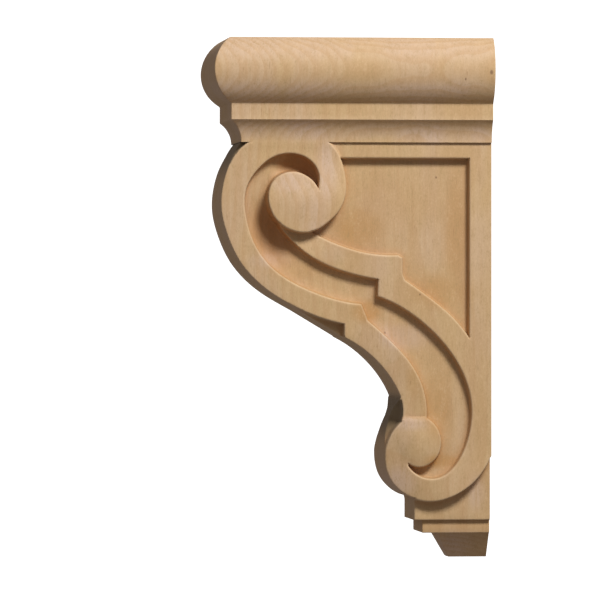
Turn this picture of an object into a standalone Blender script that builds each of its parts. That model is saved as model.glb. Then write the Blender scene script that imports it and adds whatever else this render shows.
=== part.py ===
"""Carved wooden corbel bracket, cut from one block of pale hardwood.

The wall is the plane Y = 0 and the bracket reaches out along -Y. X is its width and Z is up.
The origin is the middle of the back face. Side outlines are written as (reach, height) in
millimetres: reach is the distance from the wall, height is measured from the foot of the tail.
"""

import math

import bmesh
import bpy
import numpy as np

MM = 0.001

# Overall sizes, in millimetres
TOTAL_HEIGHT = 330.0
TOTAL_REACH = 178.0
EYE_HALF = 40.0           # half the width over the raised upper eye
FACE_HALF = 36.0          # half the width over the faces of the outer band
FIELD_HALF = 34.5         # half the width over the stile, the rail and the inner band
GROUND_HALF = 28.7        # half the width at the ground of the carving
BLOCK_HALF = 27.6         # half the width over the block below the lower scroll

# Cap moulding
CAP_FOOT = 264.0          # height of the underside of the cap
CAP_LIP = 0.4             # how far the cap's foot stands out from the scroll's face
BEAD_RADIUS = 25.0
BEAD_CENTRE = 309.5       # height of the centre of the large bead
BEAD_PROUD = 18.2         # how far the bead stands out from the cap's foot
FILLET_PROUD = 6.8
FILLET_FOOT = 278.0
COVE_RADIUS = 17.8

# Panel in the spandrel
STILE = 14.0              # width of the flat strip along the wall
PANEL_HEAD = 254.0        # height of the panel's upper edge

# Foot of the bracket
BLOCK_REACH = 48.4
BLOCK_FOOT = 24.2
STEP_REACH = 43.0
STEP_HALF = 24.4
STEP_FOOT = 16.0
TAIL_REACH_TOP = 32.7
TAIL_REACH_FOOT = 24.7
TAIL_HALF_TOP = 22.4
TAIL_HALF_FOOT = 8.0

# The outer band sinks towards its lower end, where it runs under the lower eye
RAMP_HEAD = 150.0
RAMP_FOOT = 88.8
RAMP_DROP = 2.8
RAMP_REACH = (38.0, 112.0)

# The volute rises as it winds inwards, up to the eye, and so does the lower scroll
RISE_HEAD = 257.0
RISE_FOOT = 226.0
RISE_REACH = (86.0, 149.0)
RISE_CENTRE = (118.0, 227.5)
RISE_RADIUS = 29.0        # of the disc that holds the eye and the end of the volute
LOW_RISE_HEAD = 72.0
LOW_RISE_FOOT = 40.0
LOW_RISE_REACH = (-8.0, 90.0)

CLEAR = 8.0               # how far a cutter reaches past the wood
CHORD = 3.4               # length of the straight steps along a curve

# Outlines of the side, as the knots of smooth curves
BAND_FRONT = ((155.2, 263.7), (165.6, 252.4), (171.1, 236.9), (172.2, 221.5), (168.2, 204.7),
              (159.8, 187.5), (145.9, 172.6), (131.5, 163.0), (112.1, 153.9), (94.0, 148.9))
LEDGE_WIDTH = 4.2         # how far the block stands out in front of the band at the cap
LEDGE_FOOT = 249.0        # height at which that ledge has run out
NOTCH_FOOT = (93.8, 140.3)
SLOPE_HEAD = 131.0        # reach at which the plain slope leaves the belly of the band
HOLLOW = ((93.8, 140.3), (81.5, 132.7), (70.0, 122.0), (62.0, 111.0), (57.8, 102.5))
THROAT = ((57.8, 102.5), (56.4, 95.0), (57.2, 86.9))
LOWER_SCROLL = ((57.2, 86.9), (64.4, 77.7), (68.0, 64.5), (65.2, 51.5), (56.0, 41.2),
                (40.1, 36.1), (26.0, 39.0), (12.5, 47.4), (0.5, 64.2))
BLOCK_THROAT = ((57.8, 102.5), (62.6, 90.6), (66.6, 77.5), (67.7, 64.5), (64.9, 51.6),
                (55.9, 41.5), (48.4, 38.2))
VOLUTE = ((104.1, 264.3), (96.8, 254.6), (93.4, 241.6), (93.8, 229.5), (98.2, 219.8),
          (104.6, 213.3), (112.7, 208.2), (121.0, 206.8), (128.9, 208.6), (136.1, 213.2),
          (141.0, 220.6), (142.6, 229.8), (140.2, 238.0), (134.0, 243.6), (125.9, 245.2),
          (118.5, 242.8), (113.0, 238.0), (110.8, 233.6))
EYE_START = 9             # knot of the volute where the groove takes over from the inner band
GROOVE_FRONT = ((110.2, 238.5), (111.0, 246.0), (115.6, 252.4), (124.5, 256.5), (137.3, 255.4),
                (149.5, 246.3), (156.5, 234.0), (156.9, 219.5), (150.8, 199.0), (137.5, 182.3),
                (117.0, 170.4), (98.5, 164.0), (79.4, 161.2))
GROOVE_FRONT_LOW = ((79.3, 151.1), (66.0, 139.4), (51.6, 123.6), (43.8, 108.5), (41.2, 89.2))
LOWER_EYE = ((41.2, 89.2), (34.0, 81.5), (32.4, 71.5), (36.5, 62.6), (45.0, 58.2), (53.1, 60.6))
GROOVE_BACK_LOW = ((53.1, 58.9), (47.0, 53.0), (39.3, 50.6), (31.0, 52.2), (21.2, 61.6),
                   (14.1, 79.0), (12.7, 98.0), (18.6, 118.6), (33.0, 139.5), (53.9, 157.3),
                   (72.6, 166.4))
GROOVE_BACK = ((72.1, 177.2), (99.4, 184.0), (115.5, 192.0), (133.8, 209.4))
BAND_BACK = ((115.5, 207.5), (94.0, 197.7), (76.7, 193.3), (59.7, 192.5))
BAND_BACK_NOTCH = ((56.8, 190.8), (56.8, 180.5))
BAND_BACK_LOW = ((55.1, 176.6), (40.5, 166.3), (25.5, 153.9), (14.0, 139.7))

CREASE_ANGLE = 28.0       # faces that meet at more than this show an edge

WOOD_COLOUR = (0.52, 0.34, 0.185, 1.0)
WOOD_ROUGHNESS = 0.62


def clear_scene():
    """Remove the scene's objects, so that the file starts empty."""
    for thing in list(bpy.data.objects):
        bpy.data.objects.remove(thing, do_unlink=True)


def new_collection(name):
    """A collection under the scene's own."""
    group = bpy.data.collections.new(name)
    bpy.context.scene.collection.children.link(group)
    return group


def smooth(knots, chord=CHORD):
    """A smooth curve through the knots, cut into steps of about one chord.

    Each stretch is a cubic in the distance along the knots. Slope and bend agree where
    stretches meet, and the bend fades to that of its neighbour at either end.
    """
    knots = np.array(knots, float)
    spans = np.hypot(*np.diff(knots, axis=0).T) ** 0.75
    count = len(knots)
    rows = np.zeros((count, count))
    rhs = np.zeros((count, 2))
    for i in range(1, count - 1):
        rows[i, i - 1:i + 2] = spans[i - 1], 2 * (spans[i - 1] + spans[i]), spans[i]
        ahead = (knots[i + 1] - knots[i]) / spans[i]
        behind = (knots[i] - knots[i - 1]) / spans[i - 1]
        rhs[i] = 6 * (ahead - behind)
    rows[0, :2] = 1, -1
    rows[-1, -2:] = -1, 1
    bends = np.linalg.solve(rows, rhs)
    points = []
    for i in range(count - 1):
        steps = max(2, round(float(np.hypot(*(knots[i + 1] - knots[i]))) / chord))
        for step in range(steps):
            b = step / steps
            a = 1 - b
            bend = (a ** 3 - a) * bends[i] + (b ** 3 - b) * bends[i + 1]
            points.append(tuple(a * knots[i] + b * knots[i + 1] + bend * spans[i] ** 2 / 6))
    points.append(tuple(knots[-1]))
    return points


def arc(centre, radius, start, end, steps):
    """Points on a circle from one angle to another, in degrees."""
    turn = [math.radians(start + (end - start) * i / steps) for i in range(steps + 1)]
    return [(centre[0] + radius * math.cos(a), centre[1] + radius * math.sin(a)) for a in turn]


def slab(name, outline, low, high, group, along="X"):
    """A flat outline with a thickness, from low to high along X or along Y.

    Along X the outline is (reach, height) on the side of the bracket. Along Y it is
    (offset from the middle, height) on the front.
    """
    flat = bpy.data.curves.new(name, "CURVE")
    flat.dimensions = "2D"
    flat.fill_mode = "BOTH"
    flat.extrude = (high - low) / 2 * MM
    path = flat.splines.new("POLY")
    path.points.add(len(outline) - 1)
    for point, (across, height) in zip(path.points, outline):
        side = -across if along == "X" else across
        point.co = (side * MM, (height - TOTAL_HEIGHT / 2) * MM, 0.0, 1.0)
    path.use_cyclic_u = True
    drawn = bpy.data.objects.new(name + "_outline", flat)
    group.objects.link(drawn)
    middle = (low + high) / 2 * MM
    if along == "X":
        drawn.rotation_euler = (math.pi / 2, 0.0, math.pi / 2)
        drawn.location = (middle, 0.0, 0.0)
    else:
        drawn.rotation_euler = (math.pi / 2, 0.0, 0.0)
        drawn.location = (0.0, middle, 0.0)
    bpy.context.view_layer.update()
    shaped = drawn.evaluated_get(bpy.context.evaluated_depsgraph_get())
    mesh = bpy.data.meshes.new_from_object(shaped)
    mesh.name = name
    solid = bpy.data.objects.new(name, mesh)
    solid.matrix_world = drawn.matrix_world.copy()
    group.objects.link(solid)
    bpy.data.objects.remove(drawn, do_unlink=True)
    welded = bmesh.new()
    welded.from_mesh(mesh)
    bmesh.ops.remove_doubles(welded, verts=welded.verts, dist=0.00001)
    bmesh.ops.recalc_face_normals(welded, faces=welded.faces)
    welded.to_mesh(mesh)
    welded.free()
    return solid


def frustum(name, head, foot, group):
    """A cube drawn out to a tapered block; head and foot are (half width, reach, height)."""
    bpy.ops.mesh.primitive_cube_add(size=2.0)
    solid = bpy.context.object
    solid.name = name
    for vertex in solid.data.vertices:
        half, reach, height = head if vertex.co.z > 0 else foot
        side = half if vertex.co.x > 0 else -half
        out = -reach if vertex.co.y < 0 else 0.0
        vertex.co = (side * MM, out * MM, (height - TOTAL_HEIGHT / 2) * MM)
    for owner in list(solid.users_collection):
        owner.objects.unlink(solid)
    group.objects.link(solid)
    return solid


def combine(target, tool, operation):
    """Add a Boolean modifier, and keep the tool as a hidden guide."""
    step = target.modifiers.new(f"{operation.lower()} {tool.name}", "BOOLEAN")
    step.operation = operation
    step.object = tool
    step.solver = "EXACT"
    tool.hide_render = True
    tool.display_type = "WIRE"


def cut_both_sides(target, name, outline, depth_half, group):
    """Sink an outline into both faces, down to a given half width."""
    outer = EYE_HALF + CLEAR
    for label, low, high in (("right", depth_half, outer), ("left", -outer, -depth_half)):
        combine(target, slab(f"{name}_{label}", outline, low, high, group), "DIFFERENCE")


def cap_profile(start, head):
    """The cap's edge from its foot to its top: cove, fillet and bead.

    It is drawn for a face that stands `start` from the middle or from the wall.
    """
    cove_turn = math.degrees(math.asin((FILLET_FOOT - CAP_FOOT) / COVE_RADIUS))
    cove = arc((start + COVE_RADIUS, CAP_FOOT), COVE_RADIUS, 180.0, 180.0 - cove_turn, 6)
    centre = start + BEAD_PROUD - BEAD_RADIUS
    low = -math.degrees(math.acos((FILLET_PROUD - BEAD_PROUD + BEAD_RADIUS) / BEAD_RADIUS))
    high = math.degrees(math.asin((head - BEAD_CENTRE) / BEAD_RADIUS))
    bead = arc((centre, BEAD_CENTRE), BEAD_RADIUS, low, high, 14)
    return cove + [(start + FILLET_PROUD, FILLET_FOOT)] + bead


def make_cap(group):
    """The moulded cap: its front and its two returns meet in mitres."""
    front = cap_profile(TOTAL_REACH - BEAD_PROUD, TOTAL_HEIGHT)
    front = [(0.0, CAP_FOOT)] + front + [(0.0, TOTAL_HEIGHT)]
    side = cap_profile(FACE_HALF + CAP_LIP, TOTAL_HEIGHT)
    mirrored = [(-across, height) for across, height in reversed(side)]
    wide = TOTAL_REACH + CLEAR
    cap = slab("cap", front, -wide, wide, group)
    combine(cap, slab("cap_returns", side + mirrored, -wide, CLEAR, group, along="Y"), "INTERSECT")
    return cap


def block_outline():
    """The sawn outline of the whole block, before its sides are carved."""
    front = smooth(BAND_FRONT)
    fade = CAP_FOOT - LEDGE_FOOT
    head = [(reach + LEDGE_WIDTH * ((height - LEDGE_FOOT) / fade) ** 2, height)
            for reach, height in front if height > LEDGE_FOOT]
    belly = [p for p in front if p[1] <= LEDGE_FOOT and p[0] > SLOPE_HEAD]
    hollow = smooth(HOLLOW)
    scroll = smooth(BLOCK_THROAT)[1:]
    under_cap = CAP_FOOT + 20.0
    top = [(0.0, under_cap), (head[0][0], under_cap)]
    foot = [(BLOCK_REACH, BLOCK_FOOT), (0.0, BLOCK_FOOT)]
    return top + head + belly + hollow + scroll + foot


def part_of_volute(start, end):
    """The points of the volute's edge from one of its knots to another."""
    points = smooth(VOLUTE)
    first, last = (min(range(len(points)), key=lambda i: math.dist(points[i], VOLUTE[knot]))
                   for knot in (start, end))
    return points[first:last + 1]


def field_outline():
    """Everything that lies lower than the volute and the outer band."""
    front = smooth(GROOVE_FRONT)[18:]
    back = smooth(GROOVE_BACK[::-1])
    ways = [np.array(points) for points in (front, back)]
    share = np.linspace(0.15, 0.95, 12)
    middle = sum(points[np.round(share * (len(points) - 1)).astype(int)] for points in ways) / 2
    low_front = np.array(smooth(GROOVE_FRONT_LOW))
    low_back = np.array(smooth(GROOVE_BACK_LOW[::-1]))[:len(low_front)]
    share = np.linspace(0.1, 0.85, 6)
    low = sum(points[np.round(share * (len(points) - 1)).astype(int)]
              for points in (low_front, low_back)) / 2
    eye_head = RAMP_FOOT + 0.5
    outside = [(TOTAL_REACH, eye_head), (TOTAL_REACH, LOW_RISE_HEAD), (-CLEAR, LOW_RISE_HEAD)]
    head = [(-CLEAR, CAP_FOOT), (VOLUTE[0][0], CAP_FOOT)]
    volute = part_of_volute(0, EYE_START)[1:]
    lead_in = [(VOLUTE[EYE_START][0] + 3.5, VOLUTE[EYE_START][1] - 6.0)]
    closing = [(GROOVE_FRONT_LOW[-1][0] - 2.0, eye_head)]
    return (volute + lead_in + [tuple(p) for p in middle] + [tuple(p) for p in low]
            + closing + outside + head)


def groove_outline():
    """The sunk channel between the two bands, with a hooked end at each eye."""
    return (smooth(GROOVE_FRONT) + smooth(GROOVE_FRONT_LOW) + smooth(LOWER_EYE)[1:]
            + smooth(GROOVE_BACK_LOW) + smooth(GROOVE_BACK)
            + part_of_volute(EYE_START, len(VOLUTE) - 1))


def panel_outline():
    """The sunk spandrel between the volute, the rail, the stile and the inner band."""
    volute = [p for p in part_of_volute(1, EYE_START) if BAND_BACK[0][1] < p[1] < PANEL_HEAD - 1.0
              and p[0] < BAND_BACK[0][0]]
    head = [(VOLUTE[1][0] - 0.3, PANEL_HEAD)]
    corner = [(STILE, PANEL_HEAD)]
    band = smooth(BAND_BACK) + list(BAND_BACK_NOTCH) + smooth(BAND_BACK_LOW)
    return head + volute + band + corner


def head_ledge_outline():
    """The sliver behind the top of the outer band, below the cap."""
    band = [p for p in smooth(BAND_FRONT) if LEDGE_FOOT + 1.0 < p[1] < CAP_FOOT]
    last = band[-1]
    return ([(BAND_FRONT[0][0], CAP_FOOT)] + band
            + [(last[0] + 3.0, last[1] - 1.0), (TOTAL_REACH, last[1]), (TOTAL_REACH, CAP_FOOT)])


def notch_outline():
    """The wedge between the stepped band and the plain sawn slope."""
    band = [p for p in smooth(BAND_FRONT) if p[0] < SLOPE_HEAD - 2.0]
    start = (SLOPE_HEAD + 1.0, BAND_FRONT[7][1] - 4.0)
    return [start] + band + [(NOTCH_FOOT[0] + 0.3, NOTCH_FOOT[1] - 2.0), (120.0, 135.0)]


def foot_outline():
    """The ground outside the lower scroll, down to the block."""
    throat = [p for p in smooth(THROAT) if p[1] < THROAT[0][1] - 2.0]
    scroll = smooth(LOWER_SCROLL)[1:]
    return ([(64.0, 104.0)] + throat + scroll
            + [(-CLEAR, LOWER_SCROLL[-1][1] + 9.0), (-CLEAR, 0.0), (90.0, 0.0), (90.0, 104.0)])


def cut_slopes(target, name, head, foot, reach, group):
    """Plane both faces to a slope between two (half width, height) marks."""
    near, far = reach
    outer = EYE_HALF + CLEAR
    for label, side in (("right", 1), ("left", -1)):
        face = [(half * side, height) for half, height in (head, foot)]
        face += [(outer * side, foot[1]), (outer * side, head[1])]
        combine(target, slab(f"{name}_{label}", face, -far, -near, group, along="Y"), "DIFFERENCE")


def make_wood():
    """Pale sanded hardwood."""
    wood = bpy.data.materials.new("pale_hardwood")
    wood.use_nodes = True
    shader = wood.node_tree.nodes["Principled BSDF"]
    shader.inputs["Base Color"].default_value = WOOD_COLOUR
    shader.inputs["Roughness"].default_value = WOOD_ROUGHNESS
    shader.inputs["Metallic"].default_value = 0.0
    return wood


def settle(solid):
    """Apply the cuts, and shade round faces smooth up to a crease."""
    shaped = solid.evaluated_get(bpy.context.evaluated_depsgraph_get())
    solid.data = bpy.data.meshes.new_from_object(shaped)
    solid.modifiers.clear()
    solid.data.shade_smooth()
    solid.data.set_sharp_from_angle(angle=math.radians(CREASE_ANGLE))


def make_corbel():
    """Saw the block, carve both sides, and leave the cap and the foot standing."""
    parts = new_collection("corbel_bracket")
    guides = new_collection("cutters")
    corbel = slab("corbel", block_outline(), -FACE_HALF, FACE_HALF, parts)
    disc = arc(RISE_CENTRE, RISE_RADIUS, 0.0, 360.0, 48)[:-1]
    combine(corbel, slab("raised_disc", disc, -EYE_HALF, EYE_HALF, guides), "UNION")
    cut_slopes(corbel, "rise", (FACE_HALF, RISE_HEAD), (EYE_HALF, RISE_FOOT), RISE_REACH, guides)
    cut_slopes(corbel, "low_rise", (FIELD_HALF, LOW_RISE_HEAD), (FACE_HALF, LOW_RISE_FOOT),
               LOW_RISE_REACH, guides)
    cut_slopes(corbel, "ramp", (FACE_HALF, RAMP_HEAD), (FACE_HALF - RAMP_DROP, RAMP_FOOT),
               RAMP_REACH, guides)
    cut_both_sides(corbel, "field", field_outline(), FIELD_HALF, guides)
    cut_both_sides(corbel, "panel", panel_outline(), GROUND_HALF, guides)
    cut_both_sides(corbel, "groove", groove_outline(), GROUND_HALF, guides)
    cut_both_sides(corbel, "head_ledge", head_ledge_outline(), GROUND_HALF, guides)
    cut_both_sides(corbel, "notch", notch_outline(), GROUND_HALF, guides)
    cut_both_sides(corbel, "foot", foot_outline(), BLOCK_HALF, guides)
    combine(corbel, make_cap(guides), "UNION")
    step = frustum("step", (STEP_HALF, STEP_REACH, BLOCK_FOOT + 4.0),
                   (STEP_HALF, STEP_REACH, STEP_FOOT), guides)
    combine(corbel, step, "UNION")
    slope = (TAIL_REACH_TOP - TAIL_REACH_FOOT) / STEP_FOOT
    inset = (TAIL_HALF_TOP - TAIL_HALF_FOOT) / STEP_FOOT
    overlap = 1.0
    tail = frustum("tail",
                   (TAIL_HALF_TOP + overlap * inset, TAIL_REACH_TOP + overlap * slope,
                    STEP_FOOT + overlap),
                   (TAIL_HALF_FOOT, TAIL_REACH_FOOT, 0.0), guides)
    combine(corbel, tail, "UNION")
    settle(corbel)
    corbel.data.materials.clear()
    corbel.data.materials.append(make_wood())
    return corbel


clear_scene()
make_corbel()
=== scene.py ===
# %% [markdown]
# # A carved wooden corbel bracket
#
# A corbel carries a shelf or a mantel. This one is sawn from one block of pale hardwood and
# carved on both sides: an S-shaped scroll with a raised eye at its head, a sunk channel along
# its middle, a sunk panel behind it, and a moulded cap on top. The lesson builds it as one
# closed mesh, gives it a wood that runs upright through the whole block, and lights it softly
# from above and to the right.
#
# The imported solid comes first. It fixes the size and the place of everything that follows.

# %% The frame
import math

import bpy
import numpy as np
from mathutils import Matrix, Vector
from mathutils.geometry import delaunay_2d_cdt


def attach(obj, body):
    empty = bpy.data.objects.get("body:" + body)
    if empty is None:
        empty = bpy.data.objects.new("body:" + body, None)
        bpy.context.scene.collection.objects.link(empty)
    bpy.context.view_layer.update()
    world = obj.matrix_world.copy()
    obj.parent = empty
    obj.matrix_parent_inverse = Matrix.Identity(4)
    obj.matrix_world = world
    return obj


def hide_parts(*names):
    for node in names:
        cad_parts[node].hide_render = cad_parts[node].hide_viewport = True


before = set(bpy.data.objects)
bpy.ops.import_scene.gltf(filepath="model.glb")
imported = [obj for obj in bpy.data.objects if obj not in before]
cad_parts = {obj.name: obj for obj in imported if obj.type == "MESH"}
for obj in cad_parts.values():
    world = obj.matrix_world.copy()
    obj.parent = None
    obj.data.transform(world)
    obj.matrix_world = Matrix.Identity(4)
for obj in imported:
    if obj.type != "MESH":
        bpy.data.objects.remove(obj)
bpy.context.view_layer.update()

# %% [markdown]
# ## Sizes
#
# The side of the bracket is drawn the way a carver would set it out on the block, in
# millimetres: reach is the distance out from the wall, and height is measured up from the
# tip of the tail. Half widths are measured from the middle of the block to its faces.

# %% Named sizes
MM = 0.001
HEIGHT = 330.0
REACH = 178.0
FACE_HALF = 36.0      # outer band and the top of the volute
FIELD_HALF = 34.5     # stile, rail, inner band, lower scroll
GROUND_HALF = 28.7    # sunk panel and channel
BLOCK_HALF = 27.0     # block under the lower scroll
EYE_RISE = 4.0        # how far the upper eye stands out from the outer band

CAP_FOOT = 264.0
CAP_LIP = 0.4
BEAD_RADIUS = 25.0
BEAD_CENTRE = 309.5
BEAD_PROUD = 18.2
FILLET_PROUD = 6.8
FILLET_FOOT = 278.0
COVE_RADIUS = 17.8

STILE = 14.0
PANEL_HEAD = 254.0

BLOCK_REACH, BLOCK_FOOT = 48.4, 24.2
STEP_REACH, STEP_HALF, STEP_FOOT = 43.0, 24.1, 16.0
TAIL_REACH_TOP, TAIL_HALF_TOP = 32.7, 22.4
TAIL_REACH_FOOT, TAIL_HALF_FOOT = 24.7, 8.0

UPPER_CENTRE, UPPER_RADIUS = (122.2, 226.0), 20.4
LOWER_CENTRE, LOWER_RADIUS = (45.7, 74.4), 15.0
VOLUTE_CENTRE, VOLUTE_RADIUS = (118.0, 227.5), 29.5

# %% [markdown]
# ## The drawing of the side
#
# Every carved line is a smooth curve through a few knots, as if a thin batten were bent round
# pins on the board. A cubic spline does the same: between two pins it is a cubic in the
# distance run, and slope and bend agree at each pin. A chain of Bezier handles could follow
# the same lines, but it needs three times the numbers.

# %% A batten bent round pins
CHORD = 1.15          # mesh step along a carved line


def batten(knots, chord=CHORD):
    """Points along a cubic spline through the knots.

    The stretch between knots P and Q of length s is a*P + b*Q + ((a^3-a)*M + (b^3-b)*N)*s^2/6,
    with b running from 0 to 1, a = 1 - b, and M and N the bends at the two knots. The bends
    come from one linear system that makes the slopes agree.
    """
    knots = np.array(knots, float)
    spans = np.hypot(*np.diff(knots, axis=0).T) ** 0.75
    count = len(knots)
    system = np.zeros((count, count))
    wanted = np.zeros((count, 2))
    for i in range(1, count - 1):
        system[i, i - 1:i + 2] = spans[i - 1], 2 * (spans[i - 1] + spans[i]), spans[i]
        slopes = np.diff(knots[i - 1:i + 2], axis=0) / spans[i - 1:i + 1, None]
        wanted[i] = 6 * (slopes[1] - slopes[0])
    system[0, :2] = 1, -1
    system[-1, -2:] = -1, 1
    bends = np.linalg.solve(system, wanted)
    pieces = []
    for i in range(count - 1):
        steps = max(2, round(float(np.hypot(*(knots[i + 1] - knots[i]))) / chord))
        b = (np.arange(steps) / steps)[:, None]
        a = 1 - b
        bend = (a ** 3 - a) * bends[i] + (b ** 3 - b) * bends[i + 1]
        pieces.append(a * knots[i] + b * knots[i + 1] + bend * spans[i] ** 2 / 6)
    return np.vstack(pieces + [knots[-1:]])


def straight(points, chord=CHORD):
    """Points along straight lines from corner to corner, a chord apart."""
    points = np.array(points, float)
    pieces = []
    for start, end in zip(points[:-1], points[1:]):
        steps = max(1, round(float(np.hypot(*(end - start))) / chord))
        pieces.append(start + (end - start) * (np.arange(steps) / steps)[:, None])
    return np.vstack(pieces + [points[-1:]])


# %% [markdown]
# The knots below are the carver's setting-out marks. The outer band runs down the front and
# steps in at the notch. The volute is one line that starts under the cap, goes round the back
# of the eye, under it and over its top to the hooked end of the channel.

# %% Carved lines
BAND_FRONT = ((155.2, 263.7), (165.6, 252.4), (171.1, 236.9), (172.2, 221.5), (168.2, 204.7),
              (159.8, 187.5), (145.9, 172.6), (131.5, 163.0), (112.1, 153.9), (94.0, 148.9))
LEDGE_WIDTH, LEDGE_FOOT = 4.2, 249.0
NOTCH_FOOT = (93.8, 140.3)
SLOPE_HEAD = 131.0
HOLLOW = ((93.8, 140.3), (81.5, 132.7), (70.0, 122.0), (62.0, 111.0), (57.8, 102.5))
THROAT = ((57.8, 102.5), (56.4, 95.0), (57.2, 86.9))
LOWER_SCROLL = ((57.2, 86.9), (64.4, 77.7), (68.0, 64.5), (65.2, 51.5), (56.0, 41.2),
                (40.1, 36.1), (26.0, 39.0), (12.5, 47.4), (0.5, 64.2))
BLOCK_THROAT = ((57.8, 102.5), (62.6, 90.6), (66.6, 77.5), (67.7, 64.5), (64.9, 51.6),
                (55.9, 41.5), (48.4, 38.2))
VOLUTE = ((104.1, 264.3), (96.8, 254.6), (93.4, 241.6), (93.8, 229.5), (98.2, 219.8),
          (104.6, 213.3), (112.7, 208.2), (121.0, 206.8), (128.9, 208.6), (136.1, 213.2),
          (141.0, 220.6), (142.6, 229.8), (140.2, 238.0), (134.0, 243.6), (125.9, 245.2),
          (118.5, 242.8), (113.0, 238.0), (110.8, 233.6))
EYE_START = 9
GROOVE_FRONT = ((110.2, 238.5), (111.0, 246.0), (115.6, 252.4), (124.5, 256.5), (137.3, 255.4),
                (149.5, 246.3), (156.5, 234.0), (156.9, 219.5), (150.8, 199.0), (137.5, 182.3),
                (117.0, 170.4), (98.5, 164.0), (83.2, 161.4))
GROOVE_FRONT_LOW = ((79.0, 150.9), (66.0, 139.4), (51.6, 123.6), (43.8, 108.5), (41.2, 89.2))
LOWER_EYE = ((41.2, 89.2), (34.0, 81.5), (32.4, 71.5), (36.5, 62.6), (45.0, 58.2), (53.1, 60.6))
GROOVE_BACK_LOW = ((53.1, 58.9), (47.0, 53.0), (39.3, 50.6), (31.0, 52.2), (21.2, 61.6),
                   (14.1, 79.0), (12.7, 98.0), (18.6, 118.6), (33.0, 139.5), (53.9, 157.3),
                   (72.6, 166.4))
GROOVE_BACK = ((72.1, 177.2), (99.4, 184.0), (115.5, 192.0), (133.8, 209.4))
BAND_BACK = ((115.5, 207.5), (94.0, 197.7), (76.7, 193.3), (59.7, 192.5))
BAND_BACK_NOTCH = ((56.8, 190.8), (56.8, 180.5))
BAND_BACK_LOW = ((55.1, 176.6), (40.5, 166.3), (25.5, 153.9), (14.0, 139.7))

# %% [markdown]
# Each cut of the carver's is a closed outline that is sunk to its own depth: first the field
# (everything lower than the outer band and the volute), then the panel and the channel inside
# it, then the small ledges at the cap, in the notch and in the throat, and the block below.

# %% Outlines of the cuts
OUT = 12.0            # how far an outline may run past the wood


def closed(*pieces):
    """One closed outline from its stretches, with points added along its long straight edges."""
    corners = np.vstack(pieces)
    ends = np.roll(corners, -1, 0)
    made = []
    for start, end in zip(corners, ends):
        steps = max(1, math.ceil(float(np.hypot(*(end - start))) / (1.4 * CHORD)))
        made.append(start + (end - start) * (np.arange(steps) / steps)[:, None])
    return np.vstack(made)


def volute_part(start, end):
    """The stretch of the volute between two of its knots."""
    line = batten(VOLUTE)
    ends = [int(np.argmin(np.hypot(*(line - np.array(VOLUTE[k])).T))) for k in (start, end)]
    return line[ends[0]:ends[1] + 1]


def mark(*points):
    """Loose corner points as an array."""
    return np.array(points, float)


front_line = batten(BAND_FRONT)
groove_front = batten(GROOVE_FRONT)
groove_low = batten(GROOVE_FRONT_LOW)
groove_back = batten(GROOVE_BACK[::-1])
groove_back_low = batten(GROOVE_BACK_LOW[::-1])


def between(one, two, start, end, count=14):
    """Points halfway between two lines, at the same shares of their lengths."""
    share = np.linspace(start, end, count)
    picks = [line[np.round(share * (len(line) - 1)).astype(int)] for line in (one, two)]
    return (picks[0] + picks[1]) / 2


# Under the channel the field's outline runs where it is dug away anyway.
channel_head = between(groove_front[len(groove_front) * 2 // 5:], groove_back, 0.15, 0.95)
channel_foot = between(groove_low, groove_back_low[:len(groove_low)], 0.1, 0.85)
LOW_EYE_HEAD = 89.3
field_cut = closed(
    volute_part(0, EYE_START), mark((VOLUTE[EYE_START][0] + 3.5, VOLUTE[EYE_START][1] - 6.0)),
    channel_head, channel_foot, mark((39.2, LOW_EYE_HEAD), (58.5, LOW_EYE_HEAD)),
    mark((REACH + OUT, LOW_EYE_HEAD), (REACH + OUT, -OUT), (-OUT, -OUT)),
    mark((-OUT, CAP_FOOT + OUT), (VOLUTE[0][0] + 4.0, CAP_FOOT + OUT)))
groove_cut = closed(
    groove_front, groove_low, batten(LOWER_EYE)[1:], batten(GROOVE_BACK_LOW),
    batten(GROOVE_BACK), volute_part(EYE_START, len(VOLUTE) - 1))
volute_back = volute_part(1, EYE_START)
panel_cut = closed(
    mark((STILE, PANEL_HEAD), (VOLUTE[1][0] - 0.3, PANEL_HEAD)),
    volute_back[(volute_back[:, 1] > BAND_BACK[0][1]) & (volute_back[:, 1] < PANEL_HEAD - 1.0)
                & (volute_back[:, 0] < BAND_BACK[0][0])],
    batten(BAND_BACK), mark(*BAND_BACK_NOTCH), batten(BAND_BACK_LOW))
ledge_band = front_line[front_line[:, 1] > LEDGE_FOOT + 1.0]
ledge_cut = closed(
    mark((BAND_FRONT[0][0] - 9.0, CAP_FOOT + OUT)), ledge_band,
    mark((REACH, LEDGE_FOOT), (REACH, CAP_FOOT + OUT)))
notch_band = front_line[front_line[:, 0] < SLOPE_HEAD - 1.0]
notch_cut = closed(
    mark((SLOPE_HEAD + 1.0, BAND_FRONT[7][1] - 4.0)), notch_band,
    mark((94.0, 148.4), (94.1, NOTCH_FOOT[1] - 3.0), (120.0, 132.0)))
throat = batten(THROAT)
foot_cut = closed(
    mark((64.0, 104.0)), throat[throat[:, 1] < THROAT[0][1] - 2.0],
    batten(LOWER_SCROLL)[1:], mark((-OUT, LOWER_SCROLL[-1][1] + 15.0), (-OUT, -OUT),
                                   (100.0, -OUT), (100.0, 104.0)))
print("cuts:", [len(c) for c in (field_cut, groove_cut, panel_cut, ledge_cut, notch_cut, foot_cut)])

# %% [markdown]
# The sawn outline of the block bounds all of it. At the head it stands a little in front of
# the band, at the notch it runs straight, and in the throat it fills the crotch.

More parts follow.
